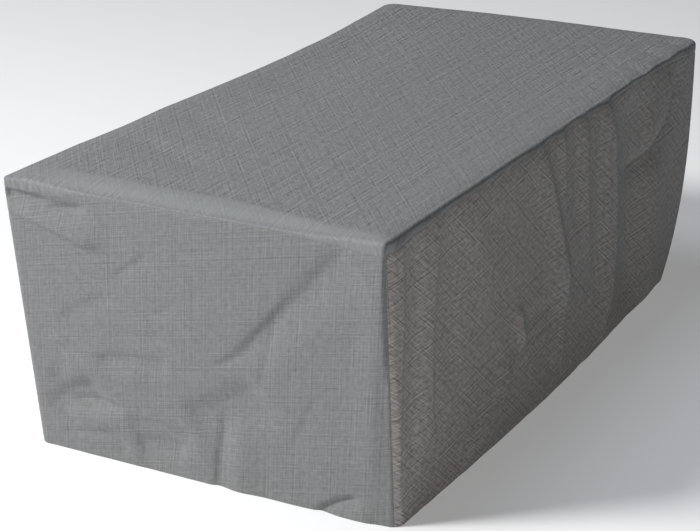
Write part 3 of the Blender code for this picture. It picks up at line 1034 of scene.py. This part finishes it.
@dataclass
class TopPanel(Panel):
    """The top panel, with its margin turned down over the table's edge to the seam."""

    columns: int = 205
    rows: int = 100
    fall_insets: tuple[float, ...] = (0.050, 0.040, 0.031, 0.023, 0.017)  # of the rings before the turn
    first_angle: float = 5.0  # degrees round the turn at its first ring
    turn_steps: int = 9
    rim_steps: int = 6
    # the painted highlight along the top's rolled near edge
    highlight_band: HighlightBand = HighlightBand()

    def rings(self) -> list[tuple[float, float, float]]:
        """Lay out the rings of points from the flat of the top to the seam.

        Returns:
            Inset, drop and share of the rim's last drop of each ring.
        """
        rings = []
        for inset in self.fall_insets:
            share = (EDGE_ZONE - inset) / (EDGE_ZONE - EDGE_RADIUS)
            rings.append((inset, EDGE_FALL * share**2, 0.0))
        for angle in np.radians(np.linspace(self.first_angle, 90, self.turn_steps)):
            inset = EDGE_RADIUS * (1 - math.sin(angle))
            rings.append((inset, EDGE_FALL + EDGE_RADIUS * (1 - math.cos(angle)), 0.0))
        for share in np.linspace(0, 1, self.rim_steps + 1)[1:]:
            rings.append((0.0, EDGE_FALL + EDGE_RADIUS, 1 - (1 - share) ** 2))
        return rings

    def flat_point(self, share_x: float, share_y: float) -> np.ndarray:
        """Find a point of the flat of the top, before its bow and sag.

        Args:
            share_x: How far along the flat it lies.
            share_y: How far across.

        Returns:
            The point.
        """
        corners = [self.outline.corner(index, 0.0, EDGE_ZONE)[0] for index in range(4)]
        low = corners[1] * (1 - share_x) + corners[2] * share_x
        high = corners[0] * (1 - share_x) + corners[3] * share_x
        return low * (1 - share_y) + high * share_y

    def ring_point(
        self, index: int, share: float, start: np.ndarray, inset: float, corner_share: float
    ) -> tuple[np.ndarray, np.ndarray, float]:
        """Place a point of a ring of the turn over one wall's edge.

        Args:
            index: The wall's number.
            share: How far along the wall the flat's edge point lies.
            start: That point.
            inset: How far the ring lies within the cover's outline.
            corner_share: How far the point lies towards the middle of the corner.

        Returns:
            The point, its outward direction, and how much of a fold reaches it.
        """
        first, last = (self.outline.corner((index + step) % 4, 0.0, inset) for step in (0, 1))
        direction = (last[0] - first[0]) / np.linalg.norm(last[0] - first[0])
        radial = turned(direction, -math.pi / 2)
        point = start + radial * (EDGE_ZONE - inset)
        if not corner_share:
            return point, radial, 1.0
        corner, side = (first, 1) if share == 0.0 else (last, -1)
        half_arc = corner[1] * corner[2] / 2
        straight = abs(direction @ (point - corner[0])) - corner[1] * math.tan(corner[2] / 2)
        length = (1 - corner_share) * (straight + half_arc)
        point, radial = self.outline.round_corner(corner, direction, length, side)
        return point, radial, float(smooth(length / half_arc)) if half_arc else 1.0

    def bow_and_sag(self, points: np.ndarray) -> tuple[np.ndarray, np.ndarray]:
        """Carry the four walls' bow and sag into the top.

        Args:
            points: Points on it.

        Returns:
            The shift of each point in the plane, and its fall.
        """
        bow, sag = np.zeros_like(points), np.zeros(points.shape[:-1])
        for index, edge in enumerate(self.outline.edges):
            outward = np.array(edge.outward)
            reach = abs(outward @ self.outline.corners[index].top) - EDGE_RADIUS
            share = smooth(points @ outward / reach)
            share = share * self.outline.share_along(index, edge.along(points))
            bow += outward * edge.top_bow * share[..., None]
            sag += edge.sag * share
        return bow, sag

    def shape(self) -> tuple[np.ndarray, np.ndarray, np.ndarray]:
        """Lay the panel on the table's top and turn its margin down.

        Returns:
            The grid of its outer face, the outward directions of its rim, and the places on it.
        """
        rings = self.rings()
        reach = len(rings)
        size = (self.columns + 2 * reach + 1, self.rows + 2 * reach + 1)
        points, radials = np.zeros((*size, 2)), np.zeros((*size, 2))
        hold, drop, last_drop = np.zeros(size), np.zeros(size), np.zeros(size)
        walls, turn = np.full(size, -1), np.zeros(size)
        for i in range(size[0]):
            beyond_x = max(reach - i, i - reach - self.columns, 0)
            share_x = min(max((i - reach) / self.columns, 0.0), 1.0)
            for j in range(size[1]):
                beyond_y = max(reach - j, j - reach - self.rows, 0)
                share_y = min(max((j - reach) / self.rows, 0.0), 1.0)
                point = self.flat_point(share_x, share_y)
                ring = max(beyond_x, beyond_y)
                if not ring:
                    points[i, j] = point
                    continue
                inset, drop[i, j], last_drop[i, j] = rings[ring - 1]
                if beyond_x >= beyond_y:
                    index, share = (0, 1 - share_y) if i < reach else (2, share_y)
                else:
                    index, share = (1, share_x) if j < reach else (3, 1 - share_x)
                corner_share = min(beyond_x, beyond_y) / ring
                found = self.ring_point(index, share, point, inset, corner_share)
                points[i, j], radials[i, j], hold[i, j] = found
                walls[i, j], turn[i, j] = index, EDGE_ZONE - inset
        bow, sag = self.bow_and_sag(points)
        spot = points + radials * (drop + last_drop * RIM_LAY)[..., None]
        lift = fold_heights(TOP_FOLDS, points) + self.rumple.heights(points)
        push = np.zeros(size)
        for index, edge in enumerate(self.outline.edges):
            mine = walls == index
            along = edge.along(points[mine])
            seam = self.outline.seam_drop(index, along)
            level = drop[mine] * (1 - last_drop[mine]) + seam * last_drop[mine]
            drop[mine] = level
            at_seam = np.stack((along, TOP_LEVEL - seam - sag[mine] - FLOOR), -1)
            fold = fold_heights(edge.folds, at_seam)
            waves = pucker(index, along) * np.exp(-(seam - level) / PUCKER_REACH)
            lean = smooth((level - EDGE_FALL) / (seam - EDGE_FALL))
            push[mine] = hold[mine] * (smooth(level / seam) * fold + lean * waves)
            push[mine] += groove(seam - level)
        lift *= smooth(1 - drop / (EDGE_FALL + EDGE_RADIUS))
        points = points + bow + radials * push[..., None]
        height = TOP_LEVEL - drop + lift - sag
        return np.concatenate((points, height[..., None]), -1), radials, spot

    def highlight_strength(self, outer: np.ndarray) -> np.ndarray:
        """Strength of the painted highlight along the top's near edge at the points of the outer face, from 0
        to 1.
        """
        return self.highlight_band.at(outer[..., 0], outer[..., 1])

    def flat(self) -> tuple[float, float, float]:
        """Measure the top as it is cut, with its rim.

        Returns:
            Its length, its width and its area.
        """
        rim = 2 * (RIM_DROP - EDGE_RADIUS)
        length = 2 * self.outline.half_length(1) + rim
        width = (self.outline.half_length(0) + self.outline.half_length(2)) + rim
        return length, width, length * width * ROUNDED


@dataclass
class Cover:
    """The whole cover: the top panel and the four walls that are sewn to it."""

    top: TopPanel
    walls: tuple[WallPanel, ...]

    def build(self) -> None:
        material = CoatedPolyester().build()
        for panel in (self.top, *self.walls):
            piece = panel.build(material)
            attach(piece, "root")
            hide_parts(panel.node)
            length, width, area = panel.flat()
            hung = isinstance(panel, WallPanel)
            LOG.info("%s: %d faces, cut %.3f x %.3f m", piece.name, len(piece.data.polygons), length, width)


@dataclass(frozen=True)
class Lamp:
    """One large round soft light.

    Where it is flagged off from the rest of the set, only names the one piece that it lights.
    """

    name: str
    place: tuple[float, float, float]
    aim: tuple[float, float, float]
    power: float
    size: float
    colour: str
    only: str = ""

    def build(self) -> None:
        """Add the light, turned towards its aim."""
        data = bpy.data.lights.new(self.name, "AREA")
        data.shape = "DISK"
        data.size = self.size
        data.energy = self.power
        data.color = linear(self.colour)[:3]
        lamp = bpy.data.objects.new(self.name, data)
        lamp.location = self.place
        x, y, z = np.subtract(self.aim, self.place)
        lamp.rotation_euler = (math.atan2(math.hypot(x, y), -z), 0.0, math.atan2(-x, y))
        bpy.context.scene.collection.objects.link(lamp)
        if self.only:
            lit = bpy.data.collections.new(self.name + "_reach")
            lit.objects.link(bpy.data.objects[self.only])
            lamp.light_linking.receiver_collection = lit


@dataclass(frozen=True)
class MattPaint:
    """White emulsion paint, rolled on to a studio floor.

    It gives the eye a plain pale ground with no gloss. Its glow stands for lamps beyond the set.
    """

    colour: str = "#e6e6e6"
    light: str = "#ffffff"
    glow: float = 0.26
    roughness: float = 0.9

    def build(self) -> bpy.types.Material:
        """Make the material.

        Returns:
            The material.
        """
        material = bpy.data.materials.new("studio_floor_paint")
        material.use_nodes = True
        shader = material.node_tree.nodes["Principled BSDF"]
        shader.inputs["Base Color"].default_value = linear(self.colour)
        shader.inputs["Roughness"].default_value = self.roughness
        shader.inputs["Emission Color"].default_value = linear(self.light)
        shader.inputs["Emission Strength"].default_value = self.glow
        return material


@dataclass
class Studio:
    """A plain pale floor, soft light and the camera."""

    paint: MattPaint = MattPaint()
    floor_half: float = 30.0  # from the middle of the floor to its sides
    sky_colour: str = "#ffffff"
    sky_strength: float = 0.03
    camera_place: tuple[float, float, float] = (-4.4839, -2.2827, 1.4491)
    camera_heading: float = 1.0806  # radians from +Y towards +X
    camera_pitch: float = 0.3629  # radians below level
    lens: float = 103.58
    lamps: tuple[Lamp, ...] = (
        Lamp("key_light", (-5.7, 5.1, 6.2), (0.0, 0.0, -0.2), 1015.0, 2.4, "#ffffff"),
        Lamp("side_light", (-4.4, -1.9, -0.15), (0.0, -0.5, -0.35), 62.0, 0.8, "#ffe8dc", "right_side_cloth"),
        Lamp("top_light", (-1.0, 2.0, 7.0), (0.0, 0.0, 0.0), 136.0, 4.0, "#e4efff"),
    )

    def camera(self) -> None:
        """Put up the camera."""
        data = bpy.data.cameras.new("camera")
        data.sensor_width = 36.0
        data.lens = self.lens
        data.clip_end = 100.0
        camera = bpy.data.objects.new("camera", data)
        camera.location = self.camera_place
        camera.rotation_euler = (math.pi / 2 - self.camera_pitch, 0.0, -self.camera_heading)
        bpy.context.scene.collection.objects.link(camera)
        bpy.context.scene.camera = camera

    def floor(self) -> None:
        """Lay the floor just under the hem."""
        half, level = self.floor_half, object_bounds()[0][2]
        corners = [(-half, -half, level), (half, -half, level), (half, half, level), (-half, half, level)]
        mesh = bpy.data.meshes.new("studio_floor")
        mesh.from_pydata(corners, [], [(0, 1, 2, 3)])
        mesh.materials.append(self.paint.build())
        floor = bpy.data.objects.new("studio_floor", mesh)
        bpy.context.scene.collection.objects.link(floor)
        floor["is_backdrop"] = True

    def sky(self) -> None:
        """Fill the room with even pale light."""
        world = bpy.data.worlds.new("studio")
        world.use_nodes = True
        back = world.node_tree.nodes["Background"]
        back.inputs["Color"].default_value = linear(self.sky_colour)
        back.inputs["Strength"].default_value = self.sky_strength
        bpy.context.scene.world = world

    def build(self) -> None:
        """Set up the whole studio."""
        bpy.context.scene.view_settings.view_transform = "Standard"
        self.sky()
        self.floor()
        for lamp in self.lamps:
            lamp.build()


def main() -> None:
    """Build the studio's camera, the cover, and then the rest of the studio."""
    logging.basicConfig(level=logging.INFO, format="%(name)s: %(message)s")
    studio = Studio()
    studio.camera()
    square = LinenPrint(11.9, 84.7, 0.0105, 0.0110)
    slanting = LinenPrint(7.0, -40.0, 0.0135, 0.0105, 2.35)
    hidden = LinenPrint(4.0, 86.0, 0.0120, 0.0110, 1.2)
    open_weave = LinenPrint(-0.5, 38.0, 0.0205, 0.0122, 1.25, 0.110, 0.45)
    top = TopPanel("top_panel_cloth", "top_panel", open_weave, Rumple(11, 0.0006))
    walls = (
        WallPanel("near_end_cloth", "near_end_wall", square, Rumple(3, 0.0008), 0, 0.0058),
        WallPanel("right_side_cloth", "right_side_wall", slanting, Rumple(5, 0.0011), 1, 0.0066),
        WallPanel("far_end_cloth", "far_end_wall", square, Rumple(7, 0.0010), 2, 0.0080),
        WallPanel("left_side_cloth", "left_side_wall", hidden, Rumple(9, 0.0011), 3, 0.0090),
    )
    Cover(top, walls).build()
    studio.build()


if __name__ == "__main__":
    main()
